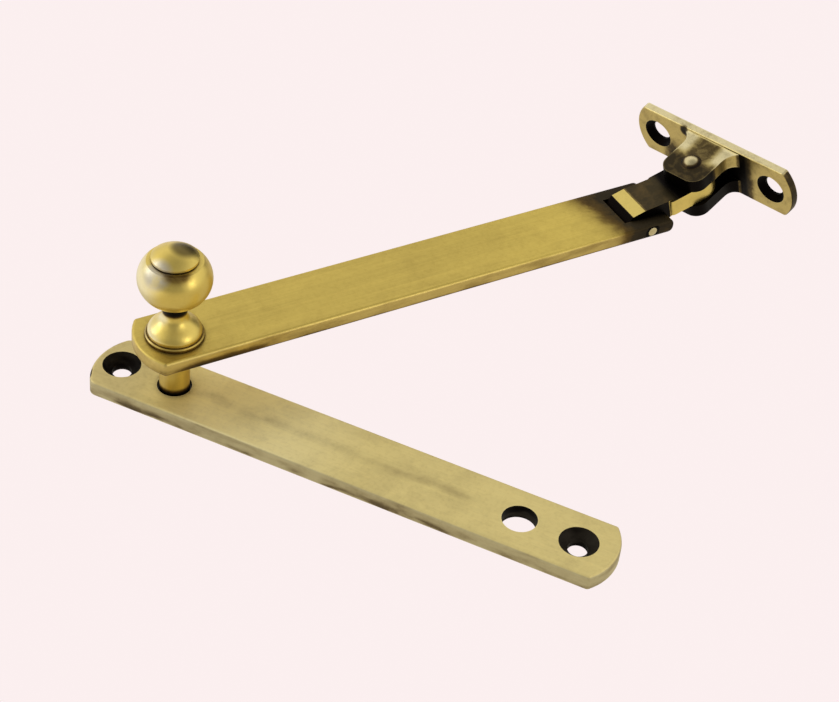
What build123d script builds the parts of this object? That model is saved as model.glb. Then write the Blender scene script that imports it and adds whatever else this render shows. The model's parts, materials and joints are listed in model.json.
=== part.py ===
from build123d import *
from math import acos, asin, degrees, hypot
import os

# Casement window stay: a frame plate, a swinging arm with a ball knob and peg, and a hinged sash bracket.
# Millimetres, +Z up, +X along the frame plate. The origin lies on the plate's underside, midway between
# its two screw holes. The arm stands at its partly open angle.

# ---- driving dimensions ----

# bar stock, shared by the frame plate and the arm
bar_width = 19.0
end_bulge = 3.4             # how far each arched bar end stands out past its corners
corner_round = 1.0
near_corner_round = 2.4     # the plate's end by the open peg hole is softer
edge_round = 0.8

# frame plate
plate_thickness = 3.8
screw_spacing = 122.3
screw_hole_radius = 2.45
countersink_radius = 4.8
peg_hole_spacing = 92.4
left_margin = 6.6           # screw hole centre to the plate's tip
right_margin = 9.7

# stay arm
swing_angle = 54.0          # arm to plate, in plan
arm_thickness = 3.8
arm_height = 16.2           # underside of the arm above the plate's underside
knob_end_reach = 9.9        # peg axis to the arm's arched tip
pin_reach = 132.7           # peg axis to the tilt pin
ear_past_pin = 6.9
ear_end_flat = 0.6          # left between the rounds on an ear's end

# peg
peg_radius = 3.75
peg_foot_gap = 0.2          # the peg stops this far above the plate's underside
peg_tip_chamfer = 0.5
spigot_radius = 2.2
spigot_depth = 6.0          # length of the spigot inside the knob

# knob and its washer
washer_radius = 7.2
washer_thickness = 1.0
washer_chamfer = 0.25
flange_radius = 6.6
flange_rim = 0.9
flange_height = 6.2
neck_radius = 3.0
ball_radius = 9.0
ball_half_height = 7.8
ball_centre_height = 17.6   # above the arm's top face
groove_height = 5.1         # above the ball's centre
groove_radius = 5.2
cap_radius = 5.7
cap_lip = 0.6
cap_height = 8.2            # above the ball's centre

# knuckle link
tilt_angle = 16.5           # link above the arm's own line
link_pitch = 19.1           # tilt pin to swivel rivet
tongue_width = 10.6
knuckle_half_height = 3.9
knuckle_back = 5.3
crest_back = 2.9            # the knuckle's flat crest, behind and ahead of the tilt pin
crest_front = 0.8
tail_width = 11.8
tail_thickness = 4.9
tail_corner_round = 1.5

# pins
tilt_pin_radius = 1.25
tilt_pin_proud = 0.3
rivet_radius = 1.9
rivet_head_radius = 2.8
rivet_head_height = 1.1

# sash bracket
swivel_angle = 16.8         # bracket about the rivet
rivet_to_sash = 10.9        # rivet axis to the bracket's back face
bracket_length = 52.8
bracket_height = 15.4
bracket_thickness = 2.2
bracket_end_bulge = 2.8
bracket_edge_round = 0.5
bracket_screw_spacing = 38.6
bracket_hole_radius = 2.8
bracket_countersink_radius = 4.4
jaw_thickness = 3.9
jaw_width = 13.2
jaw_reach = 6.2             # rivet axis to the jaws' rounded tips
jaw_tip_round = 3.8
jaw_root_width = 18.4
jaw_root_round = 4.0

# clearances
running_gap = 0.05          # radial, a pin that turns in its hole
fixed_gap = 0.02            # radial, a pin that is held in its hole
side_gap = 0.15             # between the flat sides of hinged pieces
face_gap = 0.05             # between the arm and the faces that hold it
peg_play = 0.55             # radial, the peg drops loosely into its hole
slot_gap = 0.7              # the knuckle turns clear of the slot's bottom by this much
shoulder_gap = 1.1          # between the ears' ends and the shoulders of the link's tail
ramp_gap = 0.75             # between the foot of the knuckle's slope and the swinging jaws

# slopes at the ends of the free curves, as directions
flange_foot_slope = (-0.3, 1)
neck_slope = (0, 1)
jaw_flare_slope = (-1, -0.5)
jaw_rise_slope = (-1, -0.6)

# ---- places worked out from them ----

pivot_x = -peg_hole_spacing / 2
peg_hole_radius = peg_radius + peg_play
arm_top = arm_height + arm_thickness
half_bar = bar_width / 2
half_tail = tail_thickness / 2
half_jaw = jaw_width / 2
ear_end = pin_reach + ear_past_pin
ear_end_round = (arm_thickness - ear_end_flat) / 2
knuckle_swing = max(hypot(knuckle_back, half_tail), hypot(crest_back, knuckle_half_height))
slot_start = pin_reach - knuckle_swing - slot_gap
slot_width = tongue_width + 2 * side_gap
tail_start = ear_past_pin + shoulder_gap
jaw_gap_half = half_tail + side_gap
jaw_half_height = jaw_gap_half + jaw_thickness
jaw_swing = jaw_tip_round + hypot(half_jaw - jaw_tip_round, jaw_reach - jaw_tip_round)
ramp_end = link_pitch - jaw_swing - ramp_gap
knob_base = arm_top + face_gap + washer_thickness
ball_centre = arm_top + ball_centre_height
bracket_front = rivet_to_sash - bracket_thickness

arm_place = Location((pivot_x, 0, 0), (0, 0, swing_angle))
pin_place = arm_place * Location((pin_reach, 0, arm_height + arm_thickness / 2), (0, -tilt_angle, 0))
rivet_place = pin_place * Location((link_pitch, 0, 0), (0, 0, swivel_angle - 90))

peg_side = Plane.XZ.shift_origin((pivot_x, 0, 0))
peg_axis = Axis((pivot_x, 0, 0), (0, 0, 1))


def flat_plane(place, height=0.0):
    """The plane through a place, square to its own upright axis."""
    return Plane(place * Location((0, 0, height)))


def side_plane(place):
    """The plane through a place that holds its own X axis and its upright axis."""
    return Plane(place * Location((0, 0, 0), (90, 0, 0)))


def end_plane(place):
    """The plane through a place that holds its own Y axis and its upright axis."""
    return Plane(place.position, x_dir=Plane(place).y_dir, z_dir=Plane(place).x_dir)


def dome_arc(foot, top):
    """Arc from a dome's foot to its top on the axis, centred on the axis; drawn inside a line."""
    rise = abs(top[1] - foot[1])
    radius = (foot[0] ** 2 + rise**2) / (2 * rise)
    return RadiusArc(foot, top, -radius if top[1] > foot[1] else radius)


def arched_bar(start, end, width, bulge):
    """Outline of a bar along X with both ends arched, drawn inside a sketch."""
    half = width / 2
    with BuildLine() as outline:
        Line((start + bulge, -half), (end - bulge, -half))
        ThreePointArc((end - bulge, -half), (end, 0), (end - bulge, half))
        Line((end - bulge, half), (start + bulge, half))
        ThreePointArc((start + bulge, half), (start, 0), (start + bulge, -half))
    make_face(outline.edges())


# ---- frame plate: two countersunk screw holes and two plain peg holes ----

with BuildPart() as frame_plate:
    with BuildSketch(Plane.XY) as plate_outline:
        plate_start = -screw_spacing / 2 - left_margin
        plate_end = screw_spacing / 2 + right_margin
        arched_bar(plate_start, plate_end, bar_width, end_bulge)
        fillet(plate_outline.vertices().group_by(Axis.X)[0], near_corner_round)
        fillet(plate_outline.vertices().group_by(Axis.X)[-1], corner_round)
    extrude(amount=plate_thickness)
    fillet(frame_plate.faces().sort_by(Axis.Z)[-1].edges(), edge_round)
    with BuildSketch(Plane.XY) as peg_holes:
        with GridLocations(peg_hole_spacing, 0, 2, 1):
            Circle(peg_hole_radius)
    extrude(amount=plate_thickness, mode=Mode.SUBTRACT)
    with Locations(Plane.XY.offset(plate_thickness)):
        with GridLocations(screw_spacing, 0, 2, 1):
            CounterSinkHole(screw_hole_radius, countersink_radius, counter_sink_angle=90)

frame_plate.part.label = "frame_plate"

# ---- stay arm: arched at the knob, forked at the knuckle ----

with BuildPart() as stay_arm:
    with BuildSketch(flat_plane(arm_place, arm_height)) as arm_outline:
        with BuildLine():
            Line((end_bulge - knob_end_reach, -half_bar), (ear_end, -half_bar))
            Line((ear_end, -half_bar), (ear_end, half_bar))
            Line((ear_end, half_bar), (end_bulge - knob_end_reach, half_bar))
            ThreePointArc((end_bulge - knob_end_reach, half_bar), (-knob_end_reach, 0),
                          (end_bulge - knob_end_reach, -half_bar))
        make_face()
        fillet(arm_outline.vertices().group_by(Axis.X)[0], corner_round)
        slot_length = ear_end - slot_start
        with Locations((slot_start + slot_length / 2, 0)):
            Rectangle(slot_length, slot_width, mode=Mode.SUBTRACT)
        Circle(spigot_radius + running_gap, mode=Mode.SUBTRACT)
    extrude(amount=arm_thickness)
    across = Axis((0, 0, 0), Plane(arm_place).y_dir)
    along = Axis((0, 0, 0), Plane(arm_place).x_dir)
    fillet(stay_arm.edges().filter_by(across).group_by(along)[-1], ear_end_round)
    fillet(stay_arm.edges().filter_by(lambda edge: edge.length > pin_reach / 2), edge_round)
    with BuildSketch(side_plane(pin_place)):
        Circle(tilt_pin_radius + fixed_gap)
    extrude(amount=bar_width, both=True, mode=Mode.SUBTRACT)

stay_arm.part.label = "stay_arm"

# ---- peg: drops into a plate hole, its spigot runs up through the arm into the knob ----

with BuildPart() as peg:
    with BuildSketch(peg_side):
        with BuildLine():
            Polyline(
                (0, peg_foot_gap),
                (peg_radius - peg_tip_chamfer, peg_foot_gap),
                (peg_radius, peg_foot_gap + peg_tip_chamfer),
                (peg_radius, arm_height - face_gap),
                (spigot_radius, arm_height - face_gap),
                (spigot_radius, knob_base + spigot_depth),
                (0, knob_base + spigot_depth),
                close=True,
            )
        make_face()
    revolve(axis=peg_axis)

peg.part.label = "peg"

# ---- washer under the knob ----

with BuildPart() as knob_washer:
    with BuildSketch(Plane.XY.offset(arm_top + face_gap)):
        with Locations((pivot_x, 0)):
            Circle(washer_radius)
            Circle(spigot_radius + fixed_gap, mode=Mode.SUBTRACT)
    extrude(amount=washer_thickness)
    chamfer(knob_washer.faces().sort_by(Axis.Z)[-1].edges().sort_by(SortBy.LENGTH)[-1], washer_chamfer)

knob_washer.part.label = "knob_washer"

# ---- ball knob: bell-shaped flange, neck, flattened ball and a button cap in one turning ----

with BuildPart() as ball_knob:
    with BuildSketch(peg_side):
        with BuildLine():
            flange_top = (flange_radius, knob_base + flange_rim)
            neck_foot = (neck_radius, knob_base + flange_height)
            cap_foot = (cap_radius, ball_centre + groove_height + cap_lip)
            cap_edge = (cap_radius, ball_centre + groove_height + 2 * cap_lip)
            cap_top = (0, ball_centre + cap_height)
            ball_start = -degrees(acos(neck_radius / ball_radius))
            ball_sweep = degrees(asin(groove_height / ball_half_height)) - ball_start
            ball = EllipticalCenterArc(
                (0, ball_centre), ball_radius, ball_half_height, ball_start, arc_size=ball_sweep
            )
            Polyline((0, knob_base), (flange_radius, knob_base), flange_top)
            Spline(flange_top, neck_foot, tangents=(flange_foot_slope, neck_slope))
            Line(neck_foot, ball @ 0)
            Polyline(ball @ 1, (groove_radius, ball_centre + groove_height + cap_lip / 2), cap_foot, cap_edge)
            dome_arc(cap_edge, cap_top)
            Line(cap_top, (0, knob_base))
        make_face()
    revolve(axis=peg_axis)
    with BuildSketch(Plane.XY.offset(knob_base)):
        with Locations((pivot_x, 0)):
            Circle(spigot_radius + fixed_gap)
    extrude(amount=spigot_depth + face_gap, mode=Mode.SUBTRACT)

ball_knob.part.label = "ball_knob"

# ---- knuckle link: an upright knuckle in the fork, widening to a flat tail between the jaws ----

with BuildPart() as knuckle_link:
    with BuildSketch(side_plane(pin_place)):
        with BuildLine():
            Polyline(
                (-knuckle_back, -half_tail),
                (-knuckle_back, half_tail),
                (-crest_back, knuckle_half_height),
                (crest_front, knuckle_half_height),
                (ramp_end, half_tail),
                (ramp_end, -half_tail),
                (crest_front, -knuckle_half_height),
                (-crest_back, -knuckle_half_height),
                close=True,
            )
        make_face()
    extrude(amount=tongue_width / 2, both=True)
    with BuildSketch(flat_plane(pin_place, -half_tail)) as tail_outline:
        tail_length = link_pitch - tail_start
        with Locations((tail_start + tail_length / 2, 0)):
            Rectangle(tail_length, tail_width)
        fillet(tail_outline.vertices().group_by(Axis.X)[0], tail_corner_round)
        with Locations((link_pitch, 0)):
            Circle(tail_width / 2)
    extrude(amount=tail_thickness)
    with BuildSketch(side_plane(pin_place)):
        Circle(tilt_pin_radius + running_gap)
    extrude(amount=bar_width, both=True, mode=Mode.SUBTRACT)
    with BuildSketch(flat_plane(pin_place, -half_tail)):
        with Locations((link_pitch, 0)):
            Circle(rivet_radius + running_gap)
    extrude(amount=tail_thickness, mode=Mode.SUBTRACT)

knuckle_link.part.label = "knuckle_link"

# ---- tilt pin: across the fork, its domed ends just proud of the arm's sides ----

with BuildPart() as tilt_pin:
    pin_half = half_bar + tilt_pin_proud
    with BuildSketch(flat_plane(pin_place)):
        with BuildLine():
            Line((tilt_pin_radius, -half_bar), (tilt_pin_radius, half_bar))
            dome_arc((tilt_pin_radius, half_bar), (0, pin_half))
            Line((0, pin_half), (0, -pin_half))
            dome_arc((tilt_pin_radius, -half_bar), (0, -pin_half))
        make_face()
    revolve(axis=Axis(pin_place.position, Plane(pin_place).y_dir))

tilt_pin.part.label = "tilt_pin"

# ---- sash bracket: screw plate with two jaws that flare into it ----

with BuildPart() as bracket_plate:
    with BuildSketch(side_plane(rivet_place).offset(-rivet_to_sash)) as bracket_outline:
        arched_bar(-bracket_length / 2, bracket_length / 2, bracket_height, bracket_end_bulge)
        fillet(bracket_outline.vertices(), corner_round)
    extrude(amount=bracket_thickness)
    toward_room = Axis(rivet_place.position, -Plane(rivet_place).y_dir)
    fillet(bracket_plate.faces().sort_by(toward_room)[-1].edges(), bracket_edge_round)
    with Locations(side_plane(rivet_place).offset(-bracket_front)):
        with GridLocations(bracket_screw_spacing, 0, 2, 1):
            CounterSinkHole(bracket_hole_radius, bracket_countersink_radius, counter_sink_angle=90)

with BuildPart() as sash_bracket:
    half_root = jaw_root_width / 2
    root_line = rivet_to_sash - bracket_thickness / 2
    with BuildSketch(flat_plane(rivet_place)) as jaw_outline:
        with BuildLine():
            Polyline((0, root_line), (half_root, root_line), (half_root, bracket_front))
            flare_foot = (half_jaw, bracket_front - jaw_root_round)
            Spline((half_root, bracket_front), flare_foot, tangents=(jaw_flare_slope, (0, -1)))
            Polyline(flare_foot, (half_jaw, -jaw_reach), (0, -jaw_reach))
            mirror(about=Plane.YZ)
        make_face()
        fillet(jaw_outline.vertices().group_by(Axis.Y)[0], jaw_tip_round)
    extrude(amount=bracket_height, both=True)
    with BuildSketch(end_plane(rivet_place)):
        with BuildLine():
            root_height = bracket_height / 2 - bracket_edge_round
            slope_foot = (bracket_front - jaw_root_round, jaw_half_height)
            Polyline((root_line, 0), (root_line, root_height), (bracket_front, root_height))
            Spline((bracket_front, root_height), slope_foot, tangents=(jaw_rise_slope, (-1, 0)))
            Polyline(slope_foot, (-jaw_width, jaw_half_height), (-jaw_width, jaw_gap_half))
            Polyline((-jaw_width, jaw_gap_half), (bracket_front, jaw_gap_half), (bracket_front, 0))
            Line((bracket_front, 0), (root_line, 0))
        make_face()
        mirror(about=Plane.XZ)
    extrude(amount=jaw_root_width, both=True, mode=Mode.INTERSECT)
    add(bracket_plate.part)
    with BuildSketch(flat_plane(rivet_place)):
        Circle(rivet_radius + fixed_gap)
    extrude(amount=bracket_height, both=True, mode=Mode.SUBTRACT)

sash_bracket.part.label = "sash_bracket"

# ---- swivel rivet: through both jaws and the link's tail, domed at both ends ----

with BuildPart() as swivel_rivet:
    with BuildSketch(side_plane(rivet_place)):
        with BuildLine():
            dome_top = (0, jaw_half_height + rivet_head_height)
            Polyline((0, 0), (rivet_radius, 0), (rivet_radius, jaw_half_height))
            Line((rivet_radius, jaw_half_height), (rivet_head_radius, jaw_half_height))
            dome_arc((rivet_head_radius, jaw_half_height), dome_top)
            Line(dome_top, (0, 0))
        make_face()
        mirror(about=Plane.XZ)
    revolve(axis=Axis(rivet_place.position, Plane(rivet_place).z_dir))

swivel_rivet.part.label = "swivel_rivet"

# ---- write every piece ----

os.makedirs("parts", exist_ok=True)
export_step(frame_plate.part, "parts/frame_plate.step")
export_step(stay_arm.part, "parts/stay_arm.step")
export_step(peg.part, "parts/peg.step")
export_step(knob_washer.part, "parts/knob_washer.step")
export_step(ball_knob.part, "parts/ball_knob.step")
export_step(knuckle_link.part, "parts/knuckle_link.step")
export_step(tilt_pin.part, "parts/tilt_pin.step")
export_step(sash_bracket.part, "parts/sash_bracket.step")
export_step(swivel_rivet.part, "parts/swivel_rivet.step")
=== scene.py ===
import json
from math import cos, pi, radians, sin

import bpy
from mathutils import Matrix, Vector


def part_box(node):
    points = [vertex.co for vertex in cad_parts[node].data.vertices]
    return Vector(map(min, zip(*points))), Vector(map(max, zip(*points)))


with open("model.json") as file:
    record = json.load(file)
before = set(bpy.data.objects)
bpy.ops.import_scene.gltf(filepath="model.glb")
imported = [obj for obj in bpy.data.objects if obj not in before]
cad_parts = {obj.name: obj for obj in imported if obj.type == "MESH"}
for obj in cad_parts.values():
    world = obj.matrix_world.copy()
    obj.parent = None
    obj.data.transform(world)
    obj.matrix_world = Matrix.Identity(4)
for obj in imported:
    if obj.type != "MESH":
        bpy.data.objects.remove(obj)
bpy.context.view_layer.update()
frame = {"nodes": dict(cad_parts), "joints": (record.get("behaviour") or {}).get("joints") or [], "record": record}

nodes = frame["nodes"]
scene = bpy.context.scene
mm = 0.001
toMm = 1000.0


# a node group with its named inputs and outputs
def newGroup(name, inputs, outputs):
    group = bpy.data.node_groups.new(name, "ShaderNodeTree")
    for label, kind, value in inputs:
        socket = group.interface.new_socket(label, in_out="INPUT", socket_type="NodeSocket" + kind)
        socket.default_value = value
    for label, kind in outputs:
        group.interface.new_socket(label, in_out="OUTPUT", socket_type="NodeSocket" + kind)
    ins = group.nodes.new("NodeGroupInput")
    outs = group.nodes.new("NodeGroupOutput")
    return group, ins, outs


class Wiring:
    # short calls for placing and joining nodes in one tree
    def __init__(self, tree):
        self.tree = tree

    def add(self, kind, **settings):
        node = self.tree.nodes.new("ShaderNode" + kind)
        for key, value in settings.items():
            setattr(node, key, value)
        return node

    def join(self, source, target):
        self.tree.links.new(source, target)

    def feed(self, socket, value):
        if isinstance(value, bpy.types.NodeSocket):
            self.join(value, socket)
        else:
            socket.default_value = value

    def math(self, operation, first, second=0.0, clamp=False):
        node = self.add("Math", operation=operation, use_clamp=clamp)
        self.feed(node.inputs[0], first)
        self.feed(node.inputs[1], second)
        return node.outputs[0]

    def times(self, first, *others):
        for other in others:
            first = self.math("MULTIPLY", first, other)
        return first

    def plus(self, first, *others):
        for other in others:
            first = self.math("ADD", first, other)
        return first

    def most(self, first, *others):
        for other in others:
            first = self.math("MAXIMUM", first, other)
        return first

    def less(self, first, second, clamp=False):
        return self.math("SUBTRACT", first, second, clamp)

    def size(self, value):
        return self.math("ABSOLUTE", value)

    def reach(self, *parts):
        # straight distance from its parts along each axis
        squares = [self.math("POWER", part, 2.0) for part in parts]
        return self.math("SQRT", self.plus(*squares))

    def fit(self, value, low, high, toLow=0.0, toHigh=1.0, smooth=True):
        node = self.add("MapRange", interpolation_type="SMOOTHSTEP" if smooth else "LINEAR", clamp=True)
        labels = ("Value", "From Min", "From Max", "To Min", "To Max")
        for label, given in zip(labels, (value, low, high, toLow, toHigh)):
            self.feed(node.inputs[label], given)
        return node.outputs["Result"]

    def rise(self, value, span, top=1.0):
        return self.fit(value, span[0], span[1], 0.0, top)

    def fall(self, value, span, top=1.0):
        return self.fit(value, span[0], span[1], top, 0.0)

    def mix(self, amount, first, second):
        node = self.add("Mix", data_type="RGBA", clamp_factor=True)
        self.feed(node.inputs["Factor"], amount)
        sockets = [s for s in node.inputs if s.type == "RGBA"]
        self.feed(sockets[0], first)
        self.feed(sockets[1], second)
        return [s for s in node.outputs if s.type == "RGBA"][0]

    def noise(self, vector, scale, detail, rough, warp=0.0):
        node = self.add("TexNoise")
        self.feed(node.inputs["Vector"], vector)
        self.feed(node.inputs["Scale"], scale)
        self.feed(node.inputs["Detail"], detail)
        self.feed(node.inputs["Roughness"], rough)
        self.feed(node.inputs["Distortion"], warp)
        return node.outputs["Fac"]

    def smear(self, vector, scale, detail=3.0):
        # noise with a scale of its own along each axis
        return self.noise(self.stretch(vector, scale), 1.0, detail, 0.5)

    def dot(self, vector, axis):
        node = self.add("VectorMath", operation="DOT_PRODUCT")
        self.feed(node.inputs[0], vector)
        self.feed(node.inputs[1], tuple(axis))
        return node.outputs["Value"]

    def split(self, vector):
        node = self.add("SeparateXYZ")
        self.join(vector, node.inputs[0])
        return node.outputs["X"], node.outputs["Y"], node.outputs["Z"]

    def enlarge(self, vector, factor):
        node = self.add("VectorMath", operation="SCALE")
        self.feed(node.inputs[0], vector)
        self.feed(node.inputs["Scale"], factor)
        return node.outputs["Vector"]

    def stretch(self, vector, scale):
        node = self.add("Mapping")
        self.feed(node.inputs["Vector"], vector)
        node.inputs["Scale"].default_value = scale
        return node.outputs["Vector"]


# camera: a long lens looking down along the stay, turned a little about its own axis
cameraSet = {
    "target": Vector((-1.1, 46.3, 0.0)) * mm,
    "distance": 529.3 * mm,
    "azimuth": 21.22,      # degrees from straight ahead, to the right
    "elevation": 40.6,     # degrees above the horizon
    "roll": 6.1,
    "lens": 88.7,
    "sensor": 36,
    "nearest": 10 * mm,
}


def aimCamera(settings):
    az, el, roll = (radians(settings[k]) for k in ("azimuth", "elevation", "roll"))
    back = Vector((sin(az) * cos(el), -cos(az) * cos(el), sin(el)))
    level = Vector((cos(az), sin(az), 0))
    up = back.cross(level)
    right = cos(roll) * level + sin(roll) * up
    top = cos(roll) * up - sin(roll) * level
    place = settings["target"] + back * settings["distance"]
    data = bpy.data.cameras.new("stayCamera")
    data.lens = settings["lens"]
    data.sensor_width = settings["sensor"]
    data.clip_start = settings["nearest"]
    camera = bpy.data.objects.new("stayCamera", data)
    camera.matrix_world = Matrix((
        (right.x, top.x, back.x, place.x),
        (right.y, top.y, back.y, place.y),
        (right.z, top.z, back.z, place.z),
        (0, 0, 0, 1),
    ))
    scene.collection.objects.link(camera)
    scene.camera = camera


aimCamera(cameraSet)
print("camera placed")


# light: a pale room, greyer overhead and towards the lens and dark at the back, with two soft boxes
lightSet = {
    "room": (1.0, 0.985, 0.965),
    "roomStrength": 0.98,
    # (height, 0 straight down and 1 straight up; brightness)
    "heights": ((0.0, 0.62), (0.50, 0.72), (0.62, 0.95), (0.84, 1.0), (0.93, 0.55), (1.0, 0.35)),
    # (middle, how far it spreads and where it is full as cosines, brightness left)
    "dimSides": (
        (Vector((0.02, 0.99, 0.08)), (0.84, 0.97), 0.12),
        (Vector((0.36, -0.93, 0.30)), (0.55, 0.97), 0.38),
    ),
}

softBoxes = {
    # name: (place in mm, aimed at in mm, width mm, height mm, radiance, colour)
    "leftBox": ((-430, -90, 250), (0, 50, 10), 200, 300, 1.5, (0.93, 0.97, 1.0)),
    "rightBox": ((430, -60, 230), (0, 50, 10), 150, 260, 1.8, (1.0, 0.975, 0.94)),
}


def buildSoftBoxes():
    for name, (place, aim, width, height, radiance, colour) in softBoxes.items():
        data = bpy.data.lights.new(name, "AREA")
        data.shape = "RECTANGLE"
        data.size, data.size_y = width * mm, height * mm
        data.energy = radiance * pi * data.size * data.size_y
        data.color = colour
        lamp = bpy.data.objects.new(name, data)
        lamp.location = Vector(place) * mm
        lamp.rotation_euler = (Vector(aim) - Vector(place)).to_track_quat("-Z", "Y").to_euler()
        scene.collection.objects.link(lamp)


def buildRoom():
    world = bpy.data.worlds.new("paleRoom")
    scene.world = world
    world.use_nodes = True
    w = Wiring(world.node_tree)
    way = w.add("TexCoord").outputs["Generated"]
    height = w.fit(w.dot(way, (0, 0, 1)), -1.0, 1.0, smooth=False)
    ramp = w.add("ValToRGB")
    w.join(height, ramp.inputs[0])
    stops = ramp.color_ramp.elements
    while len(stops) < len(lightSet["heights"]):
        stops.new(0.5)
    for stop, (where, level) in zip(stops, lightSet["heights"]):
        stop.position = where
        stop.color = (level, level, level, 1)
    level = ramp.outputs[0]
    for middle, spread, left in lightSet["dimSides"]:
        near = w.rise(w.dot(way, middle.normalized()), spread)
        level = w.times(level, w.fit(near, 0.0, 1.0, 1.0, left))
    sky = world.node_tree.nodes["Background"]
    sky.inputs["Color"].default_value = (*lightSet["room"], 1)
    w.join(w.times(level, lightSet["roomStrength"]), sky.inputs["Strength"])


buildSoftBoxes()
buildRoom()
scene.view_settings.view_transform = "Standard"
print("lights placed")


# floor: a pale sheet below the stay, evenly lit; what it throws back onto the brass is set apart
floorSet = {
    "size": 6.0,
    "drop": 60 * mm,
    "tint": (0.968, 0.866, 0.866),
    "bounce": (0.66, 0.61, 0.53),
    "leftBounce": (1.03, 1.01, 1.07),     # brighter towards the left
    "leftWay": (-1, -0.25, 0),
    "leftSpan": (0.12, 0.21),             # metres from the middle
}


def buildFloor():
    bpy.ops.object.select_all(action="DESELECT")
    bpy.ops.mesh.primitive_plane_add(size=floorSet["size"], location=(0, 0, -floorSet["drop"]))
    floor = bpy.context.object
    floor.name = "paleFloor"
    bpy.ops.object.transform_apply(location=True, rotation=True, scale=True)
    material = bpy.data.materials.new("paleFloorSheet")
    material.use_nodes = True
    material.node_tree.nodes.clear()
    w = Wiring(material.node_tree)
    left = w.rise(w.dot(w.add("TexCoord").outputs["Object"], floorSet["leftWay"]), floorSet["leftSpan"])
    bounce = w.mix(left, (*floorSet["bounce"], 1), (*floorSet["leftBounce"], 1))
    tint = w.mix(w.add("LightPath").outputs["Is Camera Ray"], bounce, (*floorSet["tint"], 1))
    glow = w.add("Emission")
    w.join(tint, glow.inputs["Color"])
    w.join(glow.outputs[0], w.add("OutputMaterial").inputs["Surface"])
    floor.data.materials.append(material)


buildFloor()
print("floor laid")


# how the shared brass reads its surface; spans run from where an effect begins to where it is full
brassSet = {
    "broadNoise": (4.0, 0.6, 0.4),           # detail, roughness, warp
    "fineNoise": (3.0, 0.6),
    "fineRatio": 9.0,                        # how much finer the fine noise is
    "openness": (0.25, 0.92),                # a full recess to none
    "recessSamples": 12,
    "edgeLean": (0.80, 0.995),               # a full edge to none
    "edgeSamples": 6,
    "edgePatches": (0.3, 0.65, 0.35, 1.0),   # broad noise, and how much edge wear it leaves
    "edgeCleans": 0.8,                       # how far a worn edge is rid of stain
    "filmSpan": (0.42, 0.72),
    "gritSpan": (0.45, 0.75),
    "gritShare": 0.5,
    "stainPatches": (0.25, 0.6, 0.8, 1.15),  # broad noise, and how much stain it leaves
    "amberSpan": (0.0, 0.6),
    "patinaSpan": (0.3, 0.95),
    "sootAndShadeSpan": (0.90, 1.30),
    "matteSpan": (0.0, 0.9),
    "roughGrit": (0.3, 0.7, -0.03, 0.04),    # fine noise, and what it adds to the roughness
    "duller": (0.35, 1.0),
    "dullMetal": 0.93,
    "heightShares": (0.7, 0.3),              # broad, fine
}


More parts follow.
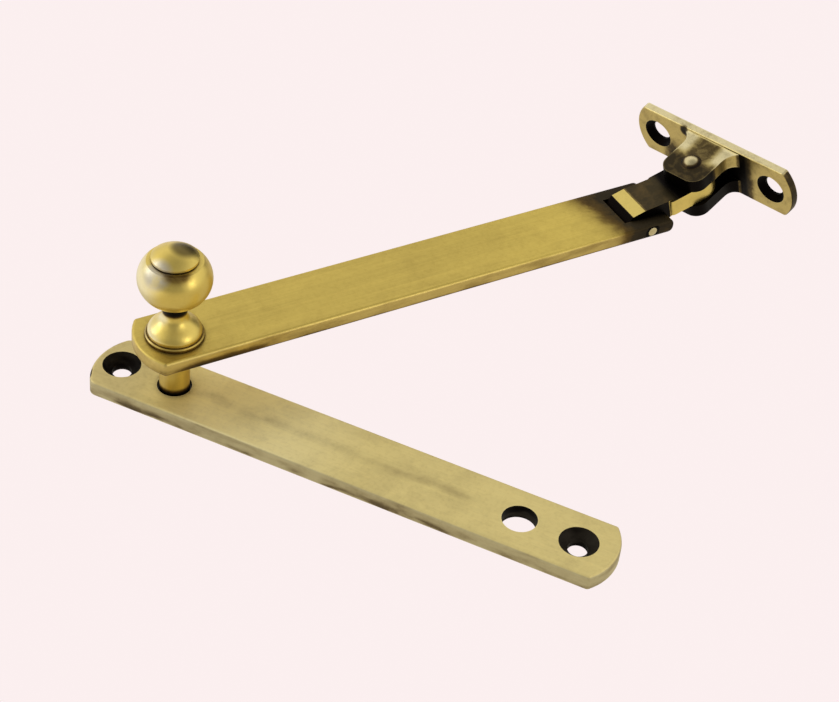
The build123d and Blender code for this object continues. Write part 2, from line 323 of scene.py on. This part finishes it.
def buildAgedBrass():
    # clean metal, lighter rubbed edges, and brown patina in recesses, darkened further by the Tarnish input, which
    # carries stains and, for some finishes, painted shade
    group, ins, outs = newGroup("agedBrass", (
        ("Vector", "Vector", (0, 0, 0)),
        ("Clean", "Color", (0.6, 0.45, 0.15, 1)),
        ("Rubbed", "Color", (0.8, 0.65, 0.35, 1)),
        ("Amber", "Color", (0.17, 0.095, 0.022, 1)),
        ("Patina", "Color", (0.03, 0.02, 0.01, 1)),
        ("Soot And Shade", "Color", (0.004, 0.0025, 0.002, 1)),
        ("Tarnish And Shade", "Float", 0.0),
        ("Mottle Size", "Float", 200.0),
        ("Mottle Amount", "Float", 0.3),
        ("Recess Reach", "Float", 0.004),
        ("Recess Amount", "Float", 1.0),
        ("Edge Reach", "Float", 0.0006),
        ("Edge Amount", "Float", 0.5),
        ("Smooth", "Float", 0.3),
        ("Matte", "Float", 0.6),
        ("Bare", "Float", 1.0),
    ), (("Color", "Color"), ("Roughness", "Float"), ("Metallic", "Float"), ("Height", "Float")))
    w, given, look = Wiring(group), ins.outputs, brassSet
    broad = w.noise(given["Vector"], given["Mottle Size"], *look["broadNoise"])
    fine = w.noise(given["Vector"], w.times(given["Mottle Size"], look["fineRatio"]), *look["fineNoise"])
    # recesses
    hollow = w.add("AmbientOcclusion", samples=look["recessSamples"], inside=False)
    w.join(given["Recess Reach"], hollow.inputs["Distance"])
    recess = w.times(w.fall(hollow.outputs["AO"], look["openness"]), given["Recess Amount"])
    # edges, where a rounded normal turns away from the true one
    rounded = w.add("Bevel", samples=look["edgeSamples"])
    w.join(given["Edge Reach"], rounded.inputs["Radius"])
    lean = w.add("VectorMath", operation="DOT_PRODUCT")
    w.join(rounded.outputs["Normal"], lean.inputs[0])
    w.join(w.add("NewGeometry").outputs["Normal"], lean.inputs[1])
    edge = w.times(w.fall(lean.outputs["Value"], look["edgeLean"]), w.fit(broad, *look["edgePatches"]))
    edge = w.times(edge, w.less(1.0, recess, clamp=True))
    edge = w.math("MULTIPLY", edge, given["Edge Amount"], clamp=True)
    # darkening: what the material asks for, stains and painted shade alike, the recesses, and a light uneven film
    film = w.times(w.rise(broad, look["filmSpan"]), given["Mottle Amount"])
    grit = w.times(w.rise(fine, look["gritSpan"]), given["Mottle Amount"], look["gritShare"])
    asked = w.plus(given["Tarnish And Shade"], recess)
    darkening = w.plus(w.times(asked, w.fit(broad, *look["stainPatches"])), film, grit)
    darkening = w.less(darkening, w.times(edge, look["edgeCleans"]), clamp=True)
    metal = w.mix(edge, given["Clean"], given["Rubbed"])
    colour = w.mix(w.fit(darkening, *look["amberSpan"], smooth=False), metal, given["Amber"])
    colour = w.mix(w.fit(darkening, *look["patinaSpan"], smooth=False), colour, given["Patina"])
    sootAndShade = w.rise(asked, look["sootAndShadeSpan"])
    w.join(w.mix(sootAndShade, colour, given["Soot And Shade"]), outs.inputs["Color"])
    rough = w.fit(darkening, *look["matteSpan"], given["Smooth"], given["Matte"])
    w.join(w.plus(rough, w.fit(fine, *look["roughGrit"])), outs.inputs["Roughness"])
    bare = w.fit(darkening, *look["duller"], given["Bare"], w.times(given["Bare"], look["dullMetal"]))
    # the black carries oxide in deep hollows and painted black shade alike; neither shows a pale sheen
    w.join(w.most(bare, sootAndShade), outs.inputs["Metallic"])     # black oxide shows no pale sheen
    broadShare, fineShare = look["heightShares"]
    w.join(w.plus(w.times(broad, broadShare), w.times(fine, fineShare)), outs.inputs["Height"])
    return group


# brush lines: (stretch along and across, detail, roughness, warp)
grainSet = {
    "hair": ((70, 3600, 3600), 3.0, 0.6, 0.0),
    "line": ((34, 1250, 1250), 3.0, 0.55, 0.0),
    "streak": ((16, 240, 240), 3.0, 0.5, 0.6),
    "streakDepth": 0.3,
}


def buildBrushGrain():
    # fine lines along the group's X, a long soft streak under them
    group, ins, outs = newGroup("brushGrain", (
        ("Vector", "Vector", (0, 0, 0)),
        ("Line Amount", "Float", 0.5),
        ("Streak Amount", "Float", 0.5),
    ), (("Tone", "Float"), ("Height", "Float")))
    w, given = Wiring(group), ins.outputs
    hair, line, streak = (
        w.less(w.noise(w.stretch(given["Vector"], scale), 1.0, *rest), 0.5)
        for scale, *rest in (grainSet[k] for k in ("hair", "line", "streak"))
    )
    lines = w.times(w.plus(w.times(hair, 0.5), w.times(line, 0.5)), given["Line Amount"])
    streaks = w.times(streak, given["Streak Amount"])
    w.join(w.plus(lines, streaks), outs.inputs["Tone"])
    w.join(w.plus(lines, w.times(streaks, grainSet["streakDepth"])), outs.inputs["Height"])
    return group


agedBrass = buildAgedBrass()
brushGrain = buildBrushGrain()
print("brass groups built")


# each piece's own axes, taken from the joints and mounts, so that a pattern follows the piece
joints = {joint["name"]: joint for joint in frame["joints"]}
mounts = {mount["name"]: mount for mount in frame["record"]["mounts"]}
pivot = Vector(joints["arm_swing"]["pos_m"])
pin = Vector(joints["knuckle_tilt"]["pos_m"])
rivet = Vector(joints["bracket_swivel"]["pos_m"])


def axesFrom(place, x, z):
    x, z = x.normalized(), z.normalized()
    y = z.cross(x)
    return Matrix((
        (x.x, y.x, z.x, place.x),
        (x.y, y.y, z.y, place.y),
        (x.z, y.z, z.z, place.z),
        (0, 0, 0, 1),
    ))


armAlong = pin - pivot
armAlong.z = 0
linkAlong = (rivet - pin).normalized()
sashWard = Vector(mounts["sash_face"]["axis"])
swivelUp = Vector(joints["bracket_swivel"]["axis"])
plateAxes = Matrix.Identity(4)
knobAxes = axesFrom(Vector((pivot.x, pivot.y, 0)), Vector((1, 0, 0)), Vector((0, 0, 1)))
armAxes = axesFrom(pivot, armAlong, Vector((0, 0, 1)))
linkAxes = axesFrom(pin, linkAlong, linkAlong.cross(-Vector(joints["knuckle_tilt"]["axis"])))
bracketAxes = axesFrom(rivet, sashWard.cross(swivelUp), swivelUp)

# shared by the finishes below
sideLean = (0.45, 0.9)          # |nz| of a face: a side below the first, flat above the second
blotchSpan = (0.40, 0.70)       # noise, from no blotch to a full one
reliefDepth = 0.02 * mm
toneGloss = 0.25                # how much a lighter brush line shines


class Finish:
    # one brass material: the piece's own place in mm and its normal, the shared groups, and the shader
    def __init__(self, name, axes, look):
        self.material = bpy.data.materials.new(name)
        self.material.use_nodes = True
        tree = self.material.node_tree
        self.w = w = Wiring(tree)
        self.look = look
        self.shader = tree.nodes["Principled BSDF"]
        coords = w.add("TexCoord")
        local = w.add("Mapping", vector_type="TEXTURE")
        w.join(coords.outputs["Object"], local.inputs["Vector"])
        local.inputs["Location"].default_value = axes.translation
        local.inputs["Rotation"].default_value = axes.to_euler("XYZ")
        self.place = local.outputs["Vector"]
        turned = w.add("Mapping", vector_type="TEXTURE")
        w.join(coords.outputs["Normal"], turned.inputs["Vector"])
        turned.inputs["Rotation"].default_value = axes.to_euler("XYZ")
        self.x, self.y, self.z = w.split(w.enlarge(self.place, toMm))
        self.nx, self.ny, self.nz = w.split(turned.outputs["Vector"])

    def colour(self, key):
        return (*self.look[key], 1)

    def finish(self, pieces, tarnishAndShade, tint=None, grain=None):
        w, look = self.w, self.look
        brass = w.add("Group")
        brass.node_tree = agedBrass
        w.join(self.place, brass.inputs["Vector"])
        w.feed(brass.inputs["Clean"], self.colour("clean") if tint is None else tint)
        for label in ("Rubbed", "Amber", "Patina"):
            brass.inputs[label].default_value = self.colour(label.lower())
        w.feed(brass.inputs["Tarnish And Shade"], tarnishAndShade)
        for label, key in (
            ("Mottle Size", "mottleSize"), ("Mottle Amount", "mottle"), ("Recess Reach", "recessReach"),
            ("Recess Amount", "recess"), ("Edge Reach", "edgeReach"), ("Edge Amount", "edge"),
            ("Smooth", "smooth"), ("Matte", "matte"), ("Bare", "bare"),
        ):
            brass.inputs[label].default_value = look[key]
        colour, rough = brass.outputs["Color"], brass.outputs["Roughness"]
        height = w.times(brass.outputs["Height"], look["dent"])
        if grain:
            brush = w.add("Group")
            brush.node_tree = brushGrain
            w.join(grain, brush.inputs["Vector"])
            brush.inputs["Line Amount"].default_value = look["lines"]
            brush.inputs["Streak Amount"].default_value = look["streaks"]
            colour = w.enlarge(colour, w.plus(brush.outputs["Tone"], 1.0))
            rough = w.less(rough, w.times(brush.outputs["Tone"], toneGloss))
            height = w.plus(height, w.times(brush.outputs["Height"], look["lineDepth"]))
        relief = w.add("Bump")
        relief.inputs["Strength"].default_value = 1.0
        relief.inputs["Distance"].default_value = reliefDepth
        w.join(height, relief.inputs["Height"])
        w.join(colour, self.shader.inputs["Base Color"])
        w.join(rough, self.shader.inputs["Roughness"])
        w.join(brass.outputs["Metallic"], self.shader.inputs["Metallic"])
        w.join(relief.outputs["Normal"], self.shader.inputs["Normal"])
        for name in pieces:
            slots = nodes[name].data.materials
            slots.clear()
            slots.append(self.material)


# Each look below holds colours, then how dark each patch is (0 clean, 1 brown, 1.3 black) beside the
# spans it runs over, then what the shared groups take. Spans are in mm on the piece's own axes, or how
# far a face leans where the name ends in Lean. Scales and mottle sizes are per metre, and reaches in
# metres. wanderSpan, and the first two numbers of a breaks entry, are levels of noise.

# frame plate: pale satin brass with a wandering dark line down its middle and duller sides
plateLook = {
    "clean": (0.84, 0.695, 0.285), "rubbed": (0.92, 0.80, 0.46), "amber": (0.27, 0.19, 0.075),
    "patina": (0.045, 0.032, 0.013), "underArmLight": (0.97, 0.84, 0.42), "dull": (0.76, 0.62, 0.265),
    "side": (0.60, 0.52, 0.28),
    "line": 0.15, "lineWidth": 2.2, "lineAcross": (-3.2, 4.2),
    "lineFrom": (-52, -30), "lineTo": (30, 40),
    "wanderScale": (34, 0, 0), "wanderSpan": (0.2, 0.8),
    "breakScale": (60, 0, 0), "breaks": (0.35, 0.6, 0.35, 1.0),
    "underArmLightFrom": (-46, -36), "underArmLightTo": (-18, 10), "dullTo": (-58, -48),
    "blotchScale": (90, 90, 380), "sideStain": 0.30, "foot": 0.35, "footSpan": (0.0, 2.2),
    "hole": 1.15, "holeAcross": (6.5, 8.0), "holeAlong": (66.2, 66.8), "holeLean": (0.75, 0.95),
    "mottleSize": 110.0, "mottle": 0.10, "recessReach": 0.0032, "recess": 0.9,
    "edgeReach": 0.0008, "edge": 0.4, "smooth": 0.58, "matte": 0.62, "bare": 0.58, "dent": 1.0,
    "lines": 0.20, "streaks": 0.16, "lineDepth": 0.5,
}


def finishPlate():
    f = Finish("platedBar", plateAxes, plateLook)
    w, look = f.w, plateLook
    side = w.fall(w.size(f.nz), sideLean)
    wander = w.smear(f.place, look["wanderScale"], 2.0)
    middle = w.fit(wander, *look["wanderSpan"], *look["lineAcross"], smooth=False)
    line = w.fall(w.size(w.less(f.y, middle)), (0.0, look["lineWidth"]))
    breaks = w.fit(w.smear(f.place, look["breakScale"]), *look["breaks"])
    ends = w.times(w.rise(f.x, look["lineFrom"]), w.fall(f.x, look["lineTo"]))
    line = w.times(line, breaks, look["line"], ends)
    blotch = w.rise(w.smear(f.place, look["blotchScale"]), blotchSpan)
    darkening = w.times(side, blotch, look["sideStain"])
    foot = w.times(side, w.fall(f.z, look["footSpan"], look["foot"]), blotch)
    hole = w.times(w.fall(w.size(f.y), look["holeAcross"]), w.fall(w.size(f.x), look["holeAlong"]))
    hole = w.times(hole, w.fall(w.size(f.nz), look["holeLean"]), look["hole"])
    # paler where the arm passes over, a painted light that makes up for the shade the arm throws on the plate;
    # duller at the left end and down the sides
    underArmLight = w.times(w.rise(f.x, look["underArmLightFrom"]), w.fall(f.x, look["underArmLightTo"]))
    tint = w.mix(underArmLight, f.colour("clean"), f.colour("underArmLight"))
    tint = w.mix(w.fall(f.x, look["dullTo"]), tint, f.colour("dull"))
    tint = w.mix(side, tint, f.colour("side"))
    f.finish(["frame_plate"], w.plus(line, darkening, foot, hole), tint, grain=f.place)


# stay arm: warmer brushed brass, dark towards the fork and mottled along its sides
armLook = {
    "clean": (0.67, 0.505, 0.118), "rubbed": (0.84, 0.70, 0.28), "amber": (0.20, 0.115, 0.022),
    "patina": (0.040, 0.028, 0.012), "far": (0.75, 0.57, 0.128), "side": (0.66, 0.50, 0.155),
    "fork": 0.95, "forkSpan": (113.5, 129.8), "forkSlant": 0.24,
    "forkRagged": 6.0, "raggedScale": 120.0,
    "farSpan": (60, 110),
    "blotchScale": (85, 85, 340), "sideStain": 0.25,
    "foot": 0.60, "footUp": (0.6, 2.6), "footTo": (6, 28), "tipTo": (-6, -2), "tipShare": 0.35,
    "arris": 0.50, "arrisUp": (0.3, 1.1),
    "pinRing": 1.3, "pinSpan": (1.6, 3.6),
    "mottleSize": 130.0, "mottle": 0.065, "recessReach": 0.0045, "recess": 0.62,
    "edgeReach": 0.0008, "edge": 0.18, "smooth": 0.44, "matte": 0.55, "bare": 0.95, "dent": 1.0,
    "lines": 0.30, "streaks": 0.22, "lineDepth": 0.7,
}


def finishArm():
    f = Finish("brushedArm", armAxes, armLook)
    w, look = f.w, armLook
    side = w.fall(w.size(f.nz), sideLean)
    ragged = w.less(w.noise(f.place, look["raggedScale"], 2.0, 0.5), 0.5)
    along = w.plus(f.x, w.times(ragged, look["forkRagged"]), w.times(f.y, look["forkSlant"]))
    fork = w.rise(along, look["forkSpan"], look["fork"])
    blotch = w.rise(w.smear(f.place, look["blotchScale"]), blotchSpan)
    darkening = w.times(side, blotch, look["sideStain"])
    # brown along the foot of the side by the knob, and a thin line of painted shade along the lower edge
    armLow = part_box("stay_arm")[0]
    up = w.less(f.z, (armLow.z - pivot.z) * toMm)
    foot = w.times(w.fall(up, look["footUp"]), w.fall(f.x, look["footTo"], look["foot"]))
    foot = w.times(foot, w.fit(f.x, *look["tipTo"], look["tipShare"], 1.0))
    foot = w.times(w.most(foot, w.fall(up, look["arrisUp"], look["arris"])), side)
    # black round the ends of the tilt pin
    fromPin = w.reach(w.less(f.x, armAlong.length * toMm), w.less(f.z, (pin.z - pivot.z) * toMm))
    ring = w.times(w.fall(fromPin, look["pinSpan"], look["pinRing"]), side)
    tint = w.mix(w.rise(f.x, look["farSpan"]), f.colour("clean"), f.colour("far"))
    tint = w.mix(side, tint, f.colour("side"))
    f.finish(["stay_arm"], w.plus(w.most(fork, foot, ring), darkening), tint, grain=f.place)


# knob, washer and peg: turned and polished, faint rings, brown in the grooves
turnedLook = {
    "clean": (0.77, 0.585, 0.145), "rubbed": (0.90, 0.78, 0.38), "amber": (0.22, 0.13, 0.03),
    # pale, on the next line, is painted light on the knob's left side
    "patina": (0.022, 0.013, 0.006), "film": (0.62, 0.56, 0.42), "pale": (0.86, 0.77, 0.46),
    # a painted dark reflection on the back of the cap
    "capDarkReflection": (0.085, 0.062, 0.024),
    "centreDown": 8.2,        # middle of the ball below the knob's top
    "neckDown": 15.6,         # narrow waist below the knob's top
    "waist": 1.2, "waistFrom": (-3.4, -1.8), "waistTo": (0.8, 2.0), "waistOut": (4.2, 5.2),
    "washer": 0.26, "washerFade": 0.1,
    "foot": 0.6, "footSpan": (3.8, 5.8), "peg": 0.14, "pegDown": (-2, -1),
    # patches on the ball: where they point, and how near that way as cosines
    "filmAt": (-0.12, -0.78, 0.60), "filmSpan": (0.86, 0.975), "filmTop": 0.95,
    "filmScale": 320.0, "filmBreaks": (0.3, 0.55, 0.5, 1.0),
    "paleAt": (-0.81, -0.58), "paleLean": (0.40, 0.90), "paleTop": 0.8,
    "capDarkReflectionAt": (0.15, 0.24, 0.96), "capDarkReflectionSpan": (0.88, 0.975), "capDarkReflectionTop": 0.85,
    "capDarkReflectionUp": (0, 2),
    "crescent": 0.55, "crescentAt": (0.42, -0.60, 0.68), "crescentSpan": (0.87, 0.985),
    "crescentFrom": (-5.4, -3.3), "crescentTo": (-3.0, -2.9),     # below the knob's top
    "mottleSize": 150.0, "mottle": 0.04, "recessReach": 0.0030, "recess": 0.66,
    "edgeReach": 0.0004, "edge": 0.2, "smooth": 0.34, "matte": 0.5, "bare": 1.0, "dent": 0.25,
    "lines": 0.05, "streaks": 0.05, "lineDepth": 0.15,
}


def finishTurned():
    f = Finish("turnedBrass", knobAxes, turnedLook)
    w, look = f.w, turnedLook
    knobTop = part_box("ball_knob")[1].z * toMm
    washerLow, washerHigh = (corner.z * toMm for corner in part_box("knob_washer"))
    fade = look["washerFade"]
    out = w.reach(f.x, f.y)
    rings = w.add("CombineXYZ")
    w.join(w.times(out, mm), rings.inputs["Y"])
    w.join(w.times(f.z, mm), rings.inputs["Z"])
    # painted shade on the waist under the ball, a brown washer, a browner peg, and painted shade round the peg's
    # foot where it meets the plate
    up = w.less(f.z, knobTop - look["neckDown"])
    waist = w.times(w.rise(up, look["waistFrom"]), w.fall(up, look["waistTo"]))
    waist = w.times(waist, w.fall(out, look["waistOut"]), look["waist"])
    washer = w.rise(f.z, (washerLow - fade, washerLow), look["washer"])
    washer = w.times(washer, w.fall(f.z, (washerHigh, washerHigh + fade)))
    foot = w.fall(f.z, look["footSpan"], look["foot"])
    peg = w.fall(w.less(f.z, washerLow), look["pegDown"], look["peg"])
    # patches on the ball, by their way from its middle
    centre = w.add("VectorMath", operation="SUBTRACT")
    w.join(f.place, centre.inputs[0])
    centre.inputs[1].default_value = (0, 0, (knobTop - look["centreDown"]) * mm)
    way = w.add("VectorMath", operation="NORMALIZE")
    w.join(centre.outputs["Vector"], way.inputs[0])

    def patch(name, top):
        towards = Vector(look[name + "At"]).normalized()
        return w.rise(w.dot(way.outputs["Vector"], towards), look[name + "Span"], top)

    breaks = w.fit(w.noise(f.place, look["filmScale"], 3.0, 0.6), *look["filmBreaks"])
    film = w.times(patch("film", look["filmTop"]), breaks)
    # painted light: faces turned left and to the front are paler, as if lit from the left
    paleX, paleY = look["paleAt"]
    pale = w.plus(w.times(f.nx, paleX), w.times(f.ny, paleY))
    # a painted dark reflection on the back of the cap, above the waist
    darkening = w.times(patch("capDarkReflection", look["capDarkReflectionTop"]), w.rise(up, look["capDarkReflectionUp"]))
    # painted shade in a band under the front of the cap's lip
    below = w.less(f.z, knobTop)
    band = w.times(w.rise(below, look["crescentFrom"]), w.fall(below, look["crescentTo"]))
    crescent = w.times(band, patch("crescent", look["crescent"]))
    tint = w.mix(w.rise(pale, look["paleLean"], look["paleTop"]), f.colour("clean"), f.colour("pale"))
    tint = w.mix(film, tint, f.colour("film"))
    tint = w.mix(darkening, tint, f.colour("capDarkReflection"))
    tarnishAndShade = w.plus(waist, washer, foot, peg, crescent)
    f.finish(["ball_knob", "knob_washer", "peg"], tarnishAndShade, tint, grain=rings.outputs[0])


# knuckle link: almost black, with painted highlights on its crest and along the tail's sides
linkLook = {
    # the clean colour shows where the painted highlights lift the dark
    "clean": (0.86, 0.67, 0.19), "rubbed": (0.80, 0.64, 0.25), "amber": (0.17, 0.11, 0.04),
    "patina": (0.060, 0.044, 0.019),
    "crestLean": (0.985, 0.995), "crestTo": (1.1, 1.5),
    "tailLean": (0.35, 0.8), "tailFrom": (7.9, 8.3),
    "slopeLean": (0.6, 0.9), "sides": 1.25, "slope": 0.78,
    "neckFrom": (8, 12), "neck": 0.5,
    "armSide": 1.4, "armSideTo": (-3.1, -2.8), "armSideLean": (0.985, 0.993),
    "mottleSize": 260.0, "mottle": 0.08, "recessReach": 0.003, "recess": 0.8,
    "edgeReach": 0.0004, "edge": 0.25, "smooth": 0.33, "matte": 0.45, "bare": 1.0, "dent": 1.6,
    "lines": 0.12, "streaks": 0.10, "lineDepth": 0.4,
}


def finishLink():
    f = Finish("darkKnuckle", linkAxes, linkLook)
    w, look = f.w, linkLook
    # painted highlights: the upward crest and both sides of the tail keep the clean colour
    crest = w.times(w.rise(f.nz, look["crestLean"]), w.fall(f.x, look["crestTo"]))
    tailSide = w.times(w.rise(w.size(f.ny), look["tailLean"]), w.rise(f.x, look["tailFrom"]))
    bright = w.math("ADD", crest, tailSide, clamp=True)
    # patina with painted shade by how each face leans: the sides and underside are the darkest, the tail darkens
    # where it runs in under the jaws, and the face towards the arm, down in the fork, is black
    dark = w.fit(f.nz, *look["slopeLean"], look["sides"], look["slope"])
    dark = w.plus(dark, w.rise(f.x, look["neckFrom"], look["neck"]))
    armSide = w.fall(f.x, look["armSideTo"], look["armSide"])
    dark = w.most(dark, w.times(armSide, w.fall(f.nz, look["armSideLean"])))
    f.finish(["knuckle_link"], w.times(dark, w.less(1.0, bright)), grain=f.place)


# sash bracket: cast brass, grainy on the jaws, dark in every corner, with painted shade under and in front of the
# jaws
bracketLook = {
    # rubbed also colours the painted highlights along the top edge and the jaw ridges
    "clean": (0.66, 0.52, 0.19), "rubbed": (0.95, 0.84, 0.50), "amber": (0.20, 0.14, 0.05),
    "patina": (0.045, 0.032, 0.014),
    "front": 8.7,             # the screw plate's front face from the rivet
    "frontFade": 0.4, "faceLean": (-0.95, -0.8),
    "under": 1.35, "underTo": (-1.2, 0.2), "underDepth": (8.2, 8.6),
    "rim": 1.3, "rimTo": (0.2, 2.6), "rimLean": (0.5, 0.9),
    "jawLean": (0.6, 0.9), "valley": 0.50, "valleyWide": (2.0, 5.0),
    "jawEnd": 0.78, "jawEndTo": (-0.5, 3.2),
    "sink": 1.3, "screwHole": 19.3, "sinkSpan": (4.4, 4.7), "sinkLean": (0.9, 0.97),
    "corner": 1.4, "cornerFrom": (4, 6), "cornerTo": (10.0, 14.5),
    "lowLeft": 0.85, "lowLeftFrom": (-19, -14), "lowLeftTo": (-6, -4), "lowLeftUp": (-4.5, 2.0),
    "farEnd": 0.85, "farEndLean": (0.5, 0.85), "farEndFrom": (22, 23.5),
    "pit": 1.1, "pitAt": (-9.3, 6.2), "pitSpan": (0.9, 1.9),
    "crown": 0.75, "crownLean": (0.7, 0.95),
    "ridge": 0.8, "ridgeWide": (3, 5.2), "ridgeFrom": (1.5, 4.0),
    "mottleSize": 330.0, "mottle": 0.22, "recessReach": 0.0060, "recess": 1.1,
    "edgeReach": 0.0008, "edge": 0.7, "smooth": 0.33, "matte": 0.5, "bare": 1.0, "dent": 1.6,
}


def finishBracket():
    f = Finish("castBracket", bracketAxes, bracketLook)
    w, look = f.w, bracketLook
    wide, front = w.size(f.x), look["front"]
    face = w.fall(f.ny, look["faceLean"])
    jawTop = w.times(w.rise(f.nz, look["jawLean"]), w.fall(f.y, (front - look["frontFade"], front)))
    valley = w.fall(wide, look["valleyWide"], look["valley"])
    jawEnd = w.fall(f.y, look["jawEndTo"], look["jawEnd"])
    fromScrew = w.reach(w.less(wide, look["screwHole"]), f.z)
    pitX, pitZ = look["pitAt"]
    fromPit = w.reach(w.less(f.x, pitX), w.less(f.y, front), w.less(f.z, pitZ))
    lowLeft = w.times(w.rise(f.x, look["lowLeftFrom"]), w.fall(f.x, look["lowLeftTo"]))
    # painted shade under the jaws (under) and on their front rims (rim); the black beside the jaw's root (corner)
    # is partly patina and partly a painted reflection of the dark jaw
    patches = {
        "lowLeft": w.times(lowLeft, w.fall(f.z, look["lowLeftUp"]), face),
        "under": w.times(w.fall(f.z, look["underTo"]), w.fall(f.y, look["underDepth"])),
        "rim": w.times(w.fall(f.y, look["rimTo"]), w.fall(w.size(f.nz), look["rimLean"])),
        "sink": w.times(w.fall(fromScrew, look["sinkSpan"]), w.fall(w.size(f.ny), look["sinkLean"])),
        "corner": w.times(face, w.fall(f.x, look["cornerTo"]), w.rise(f.x, look["cornerFrom"])),
        "farEnd": w.times(w.rise(f.nx, look["farEndLean"]), w.rise(f.x, look["farEndFrom"])),
        "pit": w.fall(fromPit, look["pitSpan"]),
    }
    # the jaw tops darker down the middle and towards their ends: a painted dark reflection
    tarnishAndShade = w.times(jawTop, w.most(valley, jawEnd))
    for name, mask in patches.items():
        tarnishAndShade = w.most(tarnishAndShade, w.times(mask, look[name]))
    # painted highlights along the plate's top edge and the jaw's two ridges, in the rubbed colour
    crown = w.rise(f.y, (front, front + look["frontFade"]), look["crown"])
    crown = w.times(crown, w.rise(f.nz, look["crownLean"]))
    ridge = w.rise(f.y, look["ridgeFrom"], look["ridge"])
    ridge = w.times(ridge, jawTop, w.rise(wide, look["ridgeWide"]))
    tint = w.mix(w.most(crown, ridge), f.colour("clean"), f.colour("rubbed"))
    f.finish(["sash_bracket"], tarnishAndShade, tint)


# pins: smooth ends, with a dark rim round the rivet's head
pinLook = {
    "clean": (0.70, 0.60, 0.33), "rubbed": (0.90, 0.82, 0.58), "amber": (0.17, 0.11, 0.04),
    "patina": (0.020, 0.013, 0.008),
    "rim": 0.85, "rimFrom": (1.3, 2.4), "rimTo": (5, 6),     # out from the rivet's middle
    "mottleSize": 400.0, "mottle": 0.10, "recessReach": 0.0016, "recess": 1.2,
    "edgeReach": 0.0003, "edge": 0.4, "smooth": 0.24, "matte": 0.5, "bare": 1.0, "dent": 0.6,
}


def finishPins():
    f = Finish("pinBrass", bracketAxes, pinLook)
    w, look = f.w, pinLook
    out = w.reach(f.x, f.y)
    rim = w.times(w.rise(out, look["rimFrom"], look["rim"]), w.fall(out, look["rimTo"]))
    f.finish(["swivel_rivet", "tilt_pin"], rim)


finishPlate()
finishArm()
finishTurned()
finishLink()
finishBracket()
finishPins()
print("brass finishes placed")
